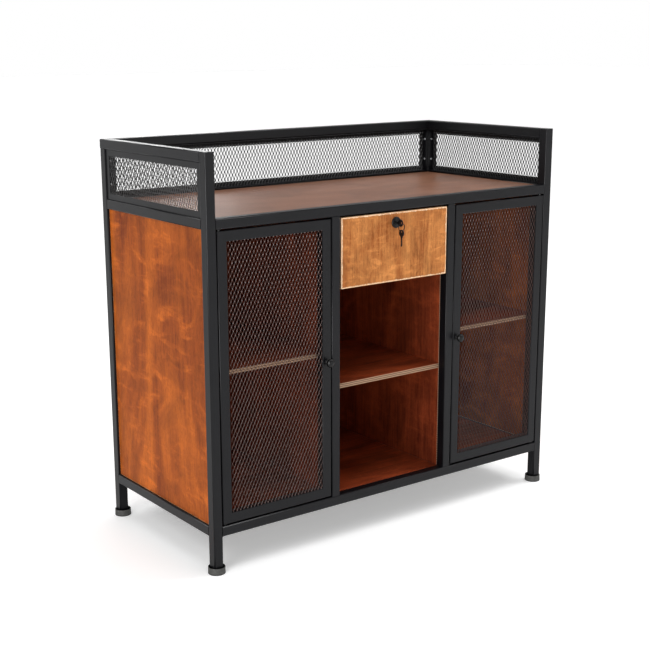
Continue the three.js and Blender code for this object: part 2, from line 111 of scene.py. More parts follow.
class BuffetSizes(bpy.types.PropertyGroup):
    """Edge radii, hardware and mesh sizes that the frame doesn't fix."""

    tube_radius: length("Tube corner", 0.0026, "Outside corner radius of the square tube")
    sheet_radius: length("Sheet edge", 0.0005, "Rounding on the edges of the angle frames")
    weld_leg: length("Weld leg", 0.0045, "Leg length of a fillet weld in an inside corner")
    board_radius: length("Board edge", 0.0009, "Rounding on the edges of the plywood")
    drawer_radius: length("Drawer edge", 0.0018, "Rubbed rounding on the drawer front")
    diamond_width: length("Diamond width", 0.010, "Short way of a mesh diamond")
    diamond_height: length("Diamond height", 0.020, "Long way of a mesh diamond")
    bond: length("Bond length", 0.0030, "Height of the joint between two diamonds")
    gallery_strand: length("Gallery strand", 0.0019, "Width of a strand in the gallery's mesh")
    door_strand: length("Door strand", 0.0011, "Width of a strand in the doors' mesh")
    strand_thickness: length("Strand thickness", 0.0008, "Thickness of a mesh strand")
    strand_lean: angle("Strand lean", 50, "Turn of the strands out of the sheet's plane")
    screw_radius: length("Screw head", 0.0034, "Radius of a gallery screw's head")
    ring_wire: length("Ring wire", 0.0006, "Radius of the split ring's wire")


class BuffetColours(bpy.types.PropertyGroup):
    """Base colours of the finishes."""

    steel: colour("Powder coat", (12, 12, 15), "Black powder coat on the frame")
    mesh: colour("Gallery mesh coat", (20, 20, 21), "Black coat on the gallery's mesh")
    door_mesh: colour("Door mesh coat", (64, 36, 27), "Brownish black coat on the doors' mesh")
    fitting: colour("Black fitting", (9, 9, 10), "Enamel on the knobs, lock and keys")
    rubber: colour("Foot rubber", (66, 66, 64), "Rubber of the foot cups")
    zinc: colour("Zinc", (172, 175, 178), "Plated steel of the slides, lock cam and screws")
    side_light: colour("Side panel, light", (205, 106, 32), "Light figure of the side panels")
    side_dark: colour("Side panel, dark", (104, 36, 5), "Dark figure of the side panels")
    inner_light: colour("Inside, light", (178, 80, 42), "Light figure of the inside boards")
    inner_dark: colour("Inside, dark", (62, 16, 8), "Dark figure of the inside boards")
    deck_light: colour("Deck, light", (154, 108, 82), "Light grain of the deck")
    deck_dark: colour("Deck, dark", (110, 64, 42), "Dark grain of the deck")
    drawer_light: colour("Drawer, light", (215, 144, 80), "Light grain of the drawer front")
    drawer_dark: colour("Drawer, dark", (132, 62, 20), "Dark grain of the drawer front")
    bare_light: colour("Bare ply, light", (166, 132, 104), "Light layers of a cut plywood edge")
    bare_dark: colour("Bare ply, dark", (62, 36, 24), "Dark layers of a cut plywood edge")
    scoured: colour("Rubbed edge", (250, 224, 190), "Edges that the stain is rubbed off")
    sealed: colour("Sealed underside", (58, 54, 50), "Dark sealer under the bottom board")


class BuffetStage(bpy.types.PropertyGroup):
    """Camera and light."""

    camera_place: FloatVectorProperty(
        name="Camera place", description="Where the camera stands", default=(-1.9838, -2.5756, 1.2403),
        subtype="TRANSLATION", unit="LENGTH", size=3)
    yaw: angle("Yaw", 35.69, "Camera's turn to the right of straight ahead")
    pitch: angle("Pitch", 13.67, "Camera's tilt below level")
    roll: angle("Roll", -0.44, "Camera's roll")
    lens: FloatProperty(name="Lens", description="Focal length in millimetres", default=68.71)
    shift: FloatVectorProperty(
        name="Shift", description="Sideways and upward lens shift", default=(0.0432, 0.0235), size=2)
    surround: FloatProperty(
        name="Surround", description="Light that the surround gives from above the horizon", default=0.25)
    even: FloatProperty(
        name="Even light", description="Strength of the soft light over the whole floor", default=1.5)
    spread: angle("Spread", 60, "How wide the even light is, which softens its shadows")
    key: power("Key light", 950, "Power of the large light on the left")
    fill: power("Fill light", 25, "Power of the light in front")
    rim: power("Rim light", 14, "Power of the small light behind that gleams along the left gallery rail")
    strip: power("Strip light", 110, "Power of the tall light that gleams along the left edges")
    edge: power("Edge light", 80, "Power of the light high on the right, which picks out the edges")
    glow: FloatProperty(name="Floor glow", description="Light that the white floor gives off", default=0.3)
    floor: colour("Floor", (240, 240, 240), "Pale floor")


def sizes():
    return bpy.context.scene.buffet_sizes


# ------------------------------------------------------------------ materials


class Finish:
    """A material under construction: its tree, its shader and short ways to add nodes."""

    def __init__(self, name, metallic=0.0, specular=0.5):
        self.material = bpy.data.materials.new(name)
        self.material.use_nodes = True
        self.tree = self.material.node_tree
        self.shader = self.tree.nodes["Principled BSDF"]
        self.shader.inputs["Metallic"].default_value = metallic
        self.shader.inputs["Specular IOR Level"].default_value = specular
        self.place = self.add_node("TexCoord").outputs["Object"]

    def add_node(self, kind, **inputs):
        """A new shader node of that kind, with inputs set by name."""
        node = self.tree.nodes.new(f"ShaderNode{kind}")
        for name, value in inputs.items():
            node.inputs[name].default_value = value
        return node

    def feed(self, sockets, values):
        """Links or sets each socket from an output, a number or a colour."""
        for socket, value in zip(sockets, values):
            if isinstance(value, (int, float)):
                socket.default_value = value
            elif isinstance(value, tuple):
                socket.default_value = (*value, 1.0)
            else:
                self.tree.links.new(value, socket)

    def stretched(self, scale, offset=(0, 0, 0), turn=(0, 0, 0)):
        """The object's own coordinates, scaled, moved and turned, for a pattern to follow."""
        node = self.add_node("Mapping", Rotation=turn, Scale=scale, Location=offset)
        self.feed([node.inputs["Vector"]], [self.place])
        return node.outputs["Vector"]

    def height(self, axis="Z"):
        """The place along one axis of the object, in metres."""
        node = self.add_node("SeparateXYZ")
        self.feed([node.inputs[0]], [self.place])
        return node.outputs[axis]

    def noise(self, vector, scale, detail=4.0, roughness=0.5, distortion=0.0):
        node = self.add_node(
            "TexNoise", Scale=scale, Detail=detail, Roughness=roughness, Distortion=distortion)
        self.feed([node.inputs["Vector"]], [vector])
        return node.outputs["Fac"]

    def maths(self, operation, *values):
        node = self.add_node("Math")
        node.operation = operation
        self.feed(node.inputs, values)
        return node.outputs[0]

    def ramp(self, value, *stops):
        """A colour ramp through (position, colour or grey) stops."""
        node = self.add_node("ValToRGB")
        elements = node.color_ramp.elements
        for _ in range(len(stops) - 2):
            elements.new(0.5)
        for element, (position, shade) in zip(elements, stops):
            element.position = position
            element.color = (*shade, 1.0) if isinstance(shade, tuple) else (shade, shade, shade, 1.0)
        self.feed([node.inputs["Fac"]], [value])
        return node.outputs["Color"]

    def mix(self, factor, first, second, blend="MIX"):
        node = self.add_node("Mix")
        node.data_type = "RGBA"
        node.blend_type = blend
        self.feed([node.inputs["Factor"], node.inputs[6], node.inputs[7]], [factor, first, second])
        return node.outputs[2]

    def bump(self, height, strength, distance):
        node = self.add_node("Bump", Strength=strength, Distance=distance)
        self.feed([node.inputs["Height"]], [height])
        self.feed([self.shader.inputs["Normal"]], [node.outputs["Normal"]])

    def paint(self, shade):
        self.feed([self.shader.inputs["Base Color"]], [shade])

    def gloss(self, pattern, low, high):
        """Roughness that runs from low to high with a 0 to 1 pattern."""
        self.feed([self.shader.inputs["Roughness"]], [self.maths("MULTIPLY_ADD", pattern, high - low, low)])


def scaled(shade, factor):
    return tuple(min(1.0, c * factor) for c in shade)


def between(first, second, share=0.5):
    return tuple(a + (b - a) * share for a, b in zip(first, second))


def powder_coat(name, shade, roughness=0.34, specular=0.19):
    """Satin powder coat with a fine orange-peel skin and slightly uneven cover."""
    finish = Finish(name, specular=specular)
    cover = finish.noise(finish.place, 14, 5, 0.6)
    peel = finish.noise(finish.place, 900, 2, 0.5)
    finish.paint(finish.ramp(cover, (0.3, scaled(shade, 0.8)), (0.7, scaled(shade, 1.25))))
    finish.gloss(cover, roughness - 0.06, roughness + 0.08)
    finish.bump(peel, 0.16, 0.0003)
    return finish.material


def enamel(name, shade, roughness=0.28):
    """Black enamel on small cast fittings, with fine handling marks."""
    finish = Finish(name, specular=0.22)
    marks = finish.noise(finish.place, 260, 4, 0.6)
    finish.paint(finish.ramp(marks, (0.35, scaled(shade, 0.75)), (0.75, scaled(shade, 1.5))))
    finish.gloss(marks, roughness - 0.06, roughness + 0.14)
    finish.bump(finish.noise(finish.place, 2400, 2), 0.08, 0.0001)
    return finish.material


def zinc_plate(name, shade):
    """Bright zinc plate, drawn along the slides, with a faint spangle."""
    finish = Finish(name, metallic=1.0)
    drawn = finish.noise(finish.stretched((1, 0.05, 1)), 1500, 4, 0.6)
    spangle = finish.noise(finish.place, 60, 3, 0.5)
    streaks = finish.ramp(drawn, (0.3, scaled(shade, 0.8)), (0.7, scaled(shade, 1.1)))
    clouds = finish.ramp(spangle, (0.3, scaled(shade, 0.85)), (0.7, shade))
    finish.paint(finish.mix(0.5, streaks, clouds))
    finish.gloss(drawn, 0.22, 0.42)
    finish.bump(drawn, 0.1, 0.0001)
    return finish.material


def scuffed_rubber(name, shade):
    """Dull rubber with pale scuffs, darker towards the bottom."""
    finish = Finish(name, specular=0.35)
    wear = finish.noise(finish.place, 160, 6, 0.7, 0.6)
    fine = finish.noise(finish.place, 1300, 3, 0.6)
    worn = finish.ramp(wear, (0.42, scaled(shade, 0.7)), (0.56, shade), (0.72, scaled(shade, 2.2)))
    speckled = finish.ramp(fine, (0.3, scaled(shade, 0.6)), (0.8, scaled(shade, 1.8)))
    # Darker towards the bottom: the lowest few millimetres of the cup are multiplied down to a quarter.
    bottom_darkening = finish.ramp(finish.maths("MULTIPLY", finish.height(), 100.0), (0.15, 0.25), (0.35, 1.0))
    finish.paint(finish.mix(1.0, finish.mix(0.3, worn, speckled), bottom_darkening, "MULTIPLY"))
    finish.gloss(wear, 0.6, 0.85)
    finish.bump(fine, 0.3, 0.0003)
    return finish.material


GRAIN, FIBRE, CURL = (0.035, 1), (0.25, 1), (1, 0.3)    # pattern scale along and across the grain
CURL_TILT = (math.radians(25), 0, 0)


def scale_along(axis, scale):
    along, across = scale
    return tuple(along if name == axis else across for name in "XYZ")


def worn_rim(finish, wear, node, axes, reach):
    """A 0 to 1 pattern that is strongest where a board's stain is rubbed off along its edges."""
    low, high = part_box(node)
    gaps = []
    for axis in axes:
        index = "XYZ".index(axis)
        centre, half = (high[index] + low[index]) / 2, (high[index] - low[index]) / 2
        away = finish.maths("ABSOLUTE", finish.maths("SUBTRACT", finish.height(axis), centre))
        gaps.append(finish.maths("SUBTRACT", half, away))
    nearest = finish.maths("DIVIDE", finish.maths("MINIMUM", *gaps), reach)
    return finish.ramp(finish.maths("MULTIPLY_ADD", wear, 1.2, nearest), (0.75, 1.0), (1.5, 0.0))


def stained_wood(
        name, dark, light, along, seed, figure=6.0, blotch=0.5, curl=0.0, speckle=0.5, bare=None,
        low=0.45, high=0.6, specular=0.08, rim=None):
    """Stained veneer: pores, grain lines and drifting figure along one axis, with curl across it."""
    finish = Finish(name, specular=specular)
    offset = (seed, seed * 0.7, seed * 0.4)
    grained = finish.stretched(scale_along(along, GRAIN), offset)
    fibrous = finish.stretched(scale_along(along, FIBRE), offset)
    pores = finish.noise(grained, 1100, 3, 0.6)
    lines = finish.noise(grained, 190, 6, 0.62, 0.2)
    drift = finish.noise(fibrous, figure, 6, 0.65, 1.8)
    patches = finish.noise(finish.stretched((1, 1, 1), offset), figure * 1.4, 5, 0.65, 1.0)
    fibres = finish.noise(fibrous, 420, 4, 0.75)
    middle = between(dark, light)
    grain = finish.ramp(lines, (0.28, dark), (0.5, middle), (0.72, light))
    figured = finish.ramp(drift, (0.34, dark), (0.5, middle), (0.64, light))
    tone = finish.mix(blotch, grain, figured)
    if curl:
        curled = finish.stretched(scale_along(along, CURL), offset, CURL_TILT)
        wave = finish.noise(curled, figure * 7, 4, 0.6, 0.5)
        where = finish.ramp(patches, (0.4, 0.0), (0.62, curl))
        wisps = finish.maths("MULTIPLY", finish.ramp(wave, (0.5, 0.0), (0.66, 1.0)), where)
        tone = finish.mix(wisps, tone, scaled(light, 1.4))
    shade = finish.ramp(patches, (0.3, 0.62), (0.55, 1.0))
    speckles = finish.ramp(fibres, (0.32, 1 - speckle), (0.5, 0.92), (0.68, 1.0))
    pits = finish.ramp(pores, (0.3, 0.5), (0.42, 1.0))
    tone = finish.mix(0.8, tone, shade, "MULTIPLY")
    tone = finish.mix(0.8, tone, speckles, "MULTIPLY")
    if rim:
        tone = finish.mix(worn_rim(finish, fibres, *rim), tone, bare)
    finish.paint(finish.mix(0.5, tone, pits, "MULTIPLY"))
    finish.gloss(lines, low, high)
    finish.bump(finish.maths("MULTIPLY_ADD", pores, 0.5, lines), 0.18, 0.0004)
    return finish.material


def ply_edge(name, dark, light):
    """Cut plywood edge: thin layers of alternating tone with broken end grain."""
    finish = Finish(name, specular=0.3)
    fleck = finish.noise(finish.place, 700, 4, 0.7)
    waver = finish.noise(finish.place, 30, 2, 0.5)
    layers_up = finish.maths("MULTIPLY", finish.height(), 0.5 / PLY_LAYER)
    run = finish.maths("MULTIPLY_ADD", waver, 0.6, layers_up)
    phase = finish.maths("PINGPONG", run, 0.5)
    layers = finish.ramp(phase, (0.16, dark), (0.26, light), (0.5, scaled(light, 1.08)))
    flecks = finish.ramp(fleck, (0.3, dark), (0.7, light))
    finish.paint(finish.mix(0.3, layers, flecks))
    finish.gloss(fleck, 0.6, 0.8)
    finish.bump(fleck, 0.2, 0.0004)
    return finish.material


def finish_recipes():
    """How each finish is made, by name."""
    colours = bpy.context.scene.buffet_colours

    def tints(*names):
        return tuple(tuple(getattr(colours, name)) for name in names)

    steel, mesh, door_mesh, black = tints("steel", "mesh", "door_mesh", "fitting")
    rubber, zinc, scoured, sealed = tints("rubber", "zinc", "scoured", "sealed")
    side, inner, deck, drawer, bare = (
        tints(f"{wood}_dark", f"{wood}_light") for wood in ("side", "inner", "deck", "drawer", "bare"))
    return {
        "powder_coat": lambda n: powder_coat(n, steel),
        "mesh_coat": lambda n: powder_coat(n, mesh, 0.36, 0.4),
        "door_mesh_coat": lambda n: powder_coat(n, door_mesh, 0.34, 0.3),
        "black_enamel": lambda n: enamel(n, black),
        "key_black": lambda n: enamel(n, black, 0.34),
        # Painted shade: near-black enamel inside the foot cups, standing for the dark hollow round each
        # leg.
        "cup_liner": lambda n: enamel(n, black, 0.5),
        "foot_rubber": lambda n: scuffed_rubber(n, rubber),
        "zinc": lambda n: zinc_plate(n, zinc),
        "side_veneer": lambda n: stained_wood(
            n, *side, "Z", 3.1, figure=5.0, blotch=0.7, curl=0.55, bare=scoured,
            rim=("side_panel_left", "YZ", 0.003)),
        "inner_veneer_up": lambda n: stained_wood(n, *inner, "Z", 7.7, blotch=0.55, curl=0.3),
        "inner_veneer_across": lambda n: stained_wood(n, *inner, "X", 5.2),
        "deck_veneer": lambda n: stained_wood(
            n, *deck, "X", 1.3, figure=5.0, blotch=0.4, speckle=0.3, low=0.34, high=0.46, specular=0.35),
        "drawer_veneer": lambda n: stained_wood(
            n, *drawer, "Z", 9.4, figure=10.0, curl=0.4, bare=scoured,
            rim=("drawer_front", "XZ", 0.010)),
        "drawer_box_veneer": lambda n: stained_wood(
            n, between(*bare), scaled(bare[1], 1.45), "Y", 2.6, figure=8.0, blotch=0.35),
        "rubbed_edge": lambda n: stained_wood(
            n, scaled(drawer[1], 1.2), scoured, "Z", 4.4, figure=20.0, speckle=0.3),
        "bare_edge": lambda n: ply_edge(n, *bare),
        "sealed_underside": lambda n: stained_wood(n, sealed, scaled(sealed, 1.5), "X", 6.6, blotch=0.4),
    }


def finish_named(name):
    """The finish of that name, made the first time it is asked for; the frame has plain ones of its own."""
    full = f"buffet_{name}"
    return bpy.data.materials.get(full) or finish_recipes()[name](full)


# ------------------------------------------------------------------ mesh helpers


def add_object(name, data):
    """An object that shows the data, linked into the scene."""
    thing = bpy.data.objects.new(name, data)
    bpy.context.scene.collection.objects.link(thing)
    return thing


def finish_piece(name, bm, body, materials, nodes=()):
    """Turns a bmesh into a piece that rides on a body and stands for the CAD nodes given."""
    mesh = bpy.data.meshes.new(name)
    bm.to_mesh(mesh)
    bm.free()
    piece = add_object(name, mesh)
    for material in materials:
        mesh.materials.append(finish_named(material))
    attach(piece, body)
    if nodes:
        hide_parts(*nodes)


def steel_piece(name, bm, body, *nodes):
    """Finishes a powder-coated piece."""
    finish_piece(name, bm, body, ["powder_coat"], nodes)


def face_outwards(bm):
    bmesh.ops.recalc_face_normals(bm, faces=bm.faces)


def body_of(node):
    bodies = frame["record"]["behaviour"]["bodies"]
    return next(body for body, members in bodies.items() if node in members)


def middle_of(node):
    low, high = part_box(node)
    return (low + high) / 2


def add_block(bm, low, high):
    """A cuboid between two corners."""
    low, high = Vector(low), Vector(high)
    verts = bmesh.ops.create_cube(bm, size=1)["verts"]
    bmesh.ops.scale(bm, vec=high - low, verts=verts)
    bmesh.ops.translate(bm, vec=(high + low) / 2, verts=verts)


def runs_along(edge, axis):
    direction = (edge.verts[1].co - edge.verts[0].co).normalized()
    return abs(direction.dot(axis)) > 0.99


def folded(edge, least=40):
    """Whether the two faces at an edge meet at more than an angle in degrees."""
    return len(edge.link_faces) == 2 and edge.calc_face_angle(0) > math.radians(least)


def round_edges(bm, edges, radius, segments=3):
    """Bevels edges round and gives back the new faces, shaded smooth."""
    made = bmesh.ops.bevel(
        bm, geom=edges, offset=radius, offset_type="OFFSET", segments=segments, profile=0.5,
        affect="EDGES", material=-1, clamp_overlap=True)
    for face in made["faces"]:
        face.smooth = True
    return made["faces"]


def smooth_below(bm, limit=40):
    """Smooth shading, broken at edges that fold by more than a limit in degrees."""
    for face in bm.faces:
        face.smooth = True
    for edge in bm.edges:
        edge.smooth = not folded(edge, limit)


def flat_face(bm, points):
    face = bm.faces.new([bm.verts.new(point) for point in points])
    face.normal_update()
    return face


def extruded(bm, faces, vector):
    """Extrudes faces by a vector and gives back the new end faces."""
    edges = {edge for face in faces for edge in face.edges}
    verts = {vert for face in faces for vert in face.verts}
    made = bmesh.ops.extrude_face_region(bm, geom=[*faces, *edges, *verts])["geom"]
    moved = [item for item in made if isinstance(item, bmesh.types.BMVert)]
    bmesh.ops.translate(bm, vec=vector, verts=moved)
    return [item for item in made if isinstance(item, bmesh.types.BMFace)]


def arc(centre_radius, centre_height, radius, start, end, steps=5, tall=None):
    """Profile points on an arc, or on an ellipse of another height, angles in degrees."""
    angles = [math.radians(start + (end - start) * i / steps) for i in range(steps + 1)]
    tall = tall or radius
    return [(centre_radius + radius * math.cos(a), centre_height + tall * math.sin(a)) for a in angles]


def turned(bm, profile, centre, axis, steps=48, loop=False):
    """Spins (radius, height) points round an axis into a closed smooth solid, seams merged."""
    side = axis.orthogonal().normalized()
    verts = [bm.verts.new(centre + side * r + axis * h) for r, h in profile]
    pairs = list(zip(verts, verts[1:])) + ([(verts[-1], verts[0])] if loop else [])
    edges = [bm.edges.new(pair) for pair in pairs]
    bmesh.ops.spin(
        bm, geom=verts + edges, cent=centre, axis=axis, angle=2 * math.pi, steps=steps, use_merge=True)
    bmesh.ops.remove_doubles(bm, verts=bm.verts, dist=1e-6)
    face_outwards(bm)
    smooth_below(bm)


# ------------------------------------------------------------------ frame


def tube_piece(node):
    """One square tube, its long edges rounded and an open end at the top ground flush."""
    low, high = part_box(node)
    span = high - low
    axis = max((X, Y, Z), key=span.dot)
    bm = bmesh.new()
    add_block(bm, low, high)
    round_edges(bm, [edge for edge in bm.edges if runs_along(edge, axis)], sizes().tube_radius, 4)
    if node.startswith("post_front"):
        rim = [edge for edge in bm.edges if min(v.co.z for v in edge.verts) > high.z - NEAR]
        round_edges(bm, rim, sizes().sheet_radius, 2)
    steel_piece(f"{node}_tube", bm, body_of(node), node)


class BUFFET_OT_frame_tubes(bpy.types.Operator):
    """Make the posts and rails of the welded frame"""

    bl_idname = "buffet.frame_tubes"
    bl_label = "Frame Tubes"

    def execute(self, context):
        for side, _ in SIDES:
            for place in ("post_front", "post_back", "mid_post"):
                tube_piece(f"{place}_{side}")
        for level in ("bottom", "deck"):
            for place in ("front", "back", "left", "right"):
                tube_piece(f"{level}_rail_{place}")
        return {"FINISHED"}


class BUFFET_OT_gallery_rail(bpy.types.Operator):
    """Make the mitred top rail, open at the front"""

    bl_idname = "buffet.gallery_rail"
    bl_label = "Gallery Rail"

    def execute(self, context):
        low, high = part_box("gallery_rail")
        tube = high.z - low.z
        left, right, back = low.x + tube, high.x - tube, high.y - tube
        outline = (
            (low.x, low.y), (left, low.y), (left, back), (right, back),
            (right, low.y), (high.x, low.y), (high.x, high.y), (low.x, high.y),
        )
        bm = bmesh.new()
        base = flat_face(bm, [(x, y, low.z) for x, y in outline])
        extruded(bm, [base], Z * tube)
        face_outwards(bm)
        long_edges = [
            edge for edge in bm.edges
            if not runs_along(edge, Z) and max(v.co.y for v in edge.verts) > low.y + NEAR
        ]
        round_edges(bm, long_edges, sizes().tube_radius, 4)
        steel_piece("gallery_rail_tube", bm, "cabinet", "gallery_rail")
        return {"FINISHED"}


def weld_fillet(bm, corner, first, second, run):
    """A concave weld in the corner between two faces, run along the third direction."""
    leg, steps = sizes().weld_leg, 5
    centre = corner + (first + second) * leg
    angles = [math.radians(90 * i / steps) for i in range(steps + 1)]
    curve = [centre - first * leg * math.cos(a) - second * leg * math.sin(a) for a in angles]
    extruded(bm, [flat_face(bm, [corner] + curve)], run)


class BUFFET_OT_welds(bpy.types.Operator):
    """Make the fillet welds in the open corners of the frame"""

    bl_idname = "buffet.welds"
    bl_label = "Weld Fillets"

    def execute(self, context):
        bm = bmesh.new()
        edge = sizes().tube_radius
        for end in ("front", "back"):
            low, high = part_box(f"bottom_rail_{end}")
            run = Y * (high.y - low.y - 2 * edge)
            for x, inward in ((low.x, X), (high.x, -X)):
                weld_fillet(bm, Vector((x, low.y + edge, low.z)), inward, -Z, run)
        for side, sign in SIDES:
            low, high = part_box(f"bottom_rail_{side}")
            run = X * (high.x - low.x - 2 * edge)
            for y, inward in ((low.y, Y), (high.y, -Y)):
                weld_fillet(bm, Vector((low.x + edge, y, low.z)), inward, -Z, run)
            low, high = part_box(f"mid_post_{side}")
            bay_face = high.x if sign < 0 else low.x
            run = Y * (high.y - low.y - 2 * edge)
            weld_fillet(bm, Vector((bay_face, low.y + edge, low.z)), X * -sign, Z, run)
        face_outwards(bm)
        smooth_below(bm, 30)
        steel_piece("weld_fillets", bm, "cabinet")
        return {"FINISHED"}


class BUFFET_OT_feet(bpy.types.Operator):
    """Make the round rubber cups that the legs stand in"""

    bl_idname = "buffet.feet"
    bl_label = "Foot Cups"

    def execute(self, context):
        wall, floor, lip, skirt, taper = 0.0018, 0.003, 0.0009, 0.0008, 0.0005
        for end in ("front", "back"):
            for side, _ in SIDES:
                node = f"foot_{end}_{side}"
                low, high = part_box(node)
                centre = middle_of(node)
                centre.z = 0
                radius, height = (high.x - low.x) / 2, high.z - low.z
                top = radius - taper
                profile = [(0, 0), *arc(radius - skirt, skirt, skirt, -90, 0)]
                profile += [(radius - taper * 0.4, height * 0.3), (top, height * 0.55)]
                profile += [*arc(top - lip, height - lip, lip, 0, 180), (top - wall, floor), (0, floor)]
                bm = bmesh.new()
                turned(bm, profile, centre, Z)
                # Faces inside the cup, round the leg, get near-black enamel as painted shade in the hollow.
                for face in bm.faces:
                    reach = (face.calc_center_median() - centre).to_2d().length
                    face.material_index = int(face.calc_center_median().z > floor / 2 and reach < top - lip)
                finish_piece(
                    f"{node}_cup", bm, "cabinet", ["foot_rubber", "cup_liner"], [node])
        return {"FINISHED"}


# ------------------------------------------------------------------ boards


BARE, RUBBED, UNDERSIDE = 1, 2, 3


def board_piece(node, veneer, bare=(), radius=None, worn=0, underside=False):
    """A plywood board with eased edges; faces that look along a bare axis show the layers."""
    bm = bmesh.new()
    add_block(bm, *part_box(node))
    for face in bm.faces:
        face.material_index = BARE if any(abs(face.normal.dot(axis)) > 0.9 for axis in bare) else 0
        if underside and face.normal.z < -0.9:
            face.material_index = UNDERSIDE
    eased = round_edges(bm, bm.edges[:], radius or sizes().board_radius, 2)
    if worn:
        for face in eased:
            face.material_index = worn
    finishes = [veneer, "bare_edge", "rubbed_edge", "sealed_underside"]
    finish_piece(f"{node}_ply", bm, body_of(node), finishes, [node])


class BUFFET_OT_boards(bpy.types.Operator):
    """Make the panels, the deck, the bottom board, the partitions and the shelves"""

    bl_idname = "buffet.boards"
    bl_label = "Boards and Shelves"

    def execute(self, context):
        for side, _ in SIDES:
            board_piece(f"side_panel_{side}", "side_veneer", worn=RUBBED)
            board_piece(f"partition_{side}", "inner_veneer_up", (Y,), worn=BARE)
            board_piece(f"shelf_{side}", "inner_veneer_across", (Y,))
        board_piece("shelf_centre", "inner_veneer_across", (Y,))
        board_piece("back_panel", "inner_veneer_up")
        board_piece("bottom_board", "inner_veneer_across", underside=True)
        board_piece("deck_board", "deck_veneer")
        return {"FINISHED"}


class BUFFET_OT_drawer(bpy.types.Operator):
    """Make the drawer front with its rubbed edges, and the drawer box"""

    bl_idname = "buffet.drawer"
    bl_label = "Drawer"

    def execute(self, context):
        board_piece(
            "drawer_front", "drawer_veneer", (X, Z), sizes().drawer_radius, worn=RUBBED)
        for node in ("drawer_side_left", "drawer_side_right", "drawer_back"):
            board_piece(node, "drawer_box_veneer", (Z,))
        board_piece("drawer_bottom", "drawer_box_veneer")
        return {"FINISHED"}


# ------------------------------------------------------------------ gallery and doors


class Wall:
    """An upright plane with its own right-hand and inward directions, to build a panel in."""

    def __init__(self, corner, right, inward):
        self.corner, self.right, self.inward = Vector(corner), right, inward

    def at(self, across, deep, up):
        return self.corner + self.right * across + self.inward * deep + Z * up

    def across(self, point):
        return (point - self.corner).dot(self.right)

    def up(self, point):
        return (point - self.corner).z


def ring_face(bm, wall, width, height, *insets):
    """A flat frame of faces, split at each inset and open in the middle."""
    corners = ((0, 0), (width, 0), (width, height), (0, height))
    face = flat_face(bm, [wall.at(u, 0, v) for u, v in corners])
    rings = []
    for inset in insets:
        made = bmesh.ops.inset_region(
            bm, faces=[face], thickness=inset, use_even_offset=True, use_boundary=True)
        rings.append(made["faces"])
    bmesh.ops.delete(bm, geom=[face], context="FACES")
    return rings


def mesh_sheet(bm, wall, width, height, depth, strand_width, turned_round=False):
    """Expanded metal: upright strands that step left and right, and meet at the bonds.

    A sheet that is turned round has its strands leaning the other way.
    """
    s = sizes()
    lean = -s.strand_lean if turned_round else s.strand_lean
    pitch = s.diamond_height / 2
    columns = int(width / s.diamond_width + 0.01)
    rows = int(height / pitch + 0.01)
    start = (width - columns * s.diamond_width) / 2
    low = (height - rows * pitch) / 2
    wide = wall.right * math.cos(lean) - wall.inward * math.sin(lean)
    deep = wall.right * math.sin(lean) + wall.inward * math.cos(lean)
    swing = wall.right * (s.diamond_width / 4) - wide * (strand_width / 2)
    for strand in range(2):
        side = 1 if strand == 0 else -1
        centre = wall.at(start + (0.5 + strand) * s.diamond_width / 2, depth, low) + swing * side
        section = [
            centre + wide * a * strand_width / 2 + deep * b * s.strand_thickness / 2
            for a, b in ((-1, -1), (1, -1), (1, 1), (-1, 1))
        ]
        faces = extruded(bm, [flat_face(bm, section)], Z * s.bond / 2)
        for row in range(rows):
            side = -side
            faces = extruded(bm, faces, swing * 2 * side + Z * (pitch - s.bond))
            faces = extruded(bm, faces, Z * (s.bond if row < rows - 1 else s.bond / 2))
    pair = bm.verts[:] + bm.edges[:] + bm.faces[:]
    for column in range(1, columns):
        copy = bmesh.ops.duplicate(bm, geom=pair)["geom"]
        moved = [item for item in copy if isinstance(item, bmesh.types.BMVert)]
        bmesh.ops.translate(bm, vec=wall.right * column * s.diamond_width, verts=moved)
    face_outwards(bm)


def gallery_walls():
    """The three gallery walls, seen from outside: side, wall and width."""
    walls = []
    for side, right, inward in (("left", -Y, X), ("back", -X, -Y), ("right", Y, -X)):
        low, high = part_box(f"gallery_frame_{side}")
        corner = Vector((
            low.x if (right + inward).x > 0 else high.x,
            low.y if (right + inward).y > 0 else high.y,
            low.z,
        ))
        walls.append((side, Wall(corner, right, inward), abs((high - low).dot(right)), high.z - low.z))
    return walls


class BUFFET_OT_gallery(bpy.types.Operator):
    """Make the gallery's angle frames and their expanded mesh"""

    bl_idname = "buffet.gallery"
    bl_label = "Gallery Panels"

    def execute(self, context):
        flange, sheet = 0.015, 0.002
        for side, wall, width, height in gallery_walls():
            low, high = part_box(f"gallery_frame_{side}")
            depth = abs((high - low).dot(wall.inward))
            bm = bmesh.new()
            rim, lip = ring_face(bm, wall, width, height, sheet, flange - sheet)
            ends = extruded(bm, rim + lip, wall.inward * sheet)
            legs = [face for face in ends if self.touches_rim(face, wall, width, height)]
            extruded(bm, legs, wall.inward * (depth - sheet))
            face_outwards(bm)
            round_edges(bm, [edge for edge in bm.edges if folded(edge)], sizes().sheet_radius, 2)
            node = f"gallery_frame_{side}"
            steel_piece(f"{node}_angle", bm, "cabinet", node)

            node = f"gallery_mesh_{side}"
            bm = bmesh.new()
            strand = sizes().gallery_strand
            wide, tall = width - 2 * sheet, height - 2 * sheet
            mesh_sheet(bm, wall, wide, tall, sheet + strand / 2, strand, turned_round=side == "right")
            bmesh.ops.translate(bm, vec=wall.right * sheet + Z * sheet, verts=bm.verts)
            finish_piece(f"{node}_strands", bm, "cabinet", ["mesh_coat"], [node])
        return {"FINISHED"}

    @staticmethod
    def touches_rim(face, wall, width, height):
        for vert in face.verts:
            across, up = wall.across(vert.co), wall.up(vert.co)
            if min(abs(across), abs(across - width), abs(up), abs(up - height)) < NEAR:
                return True
        return False


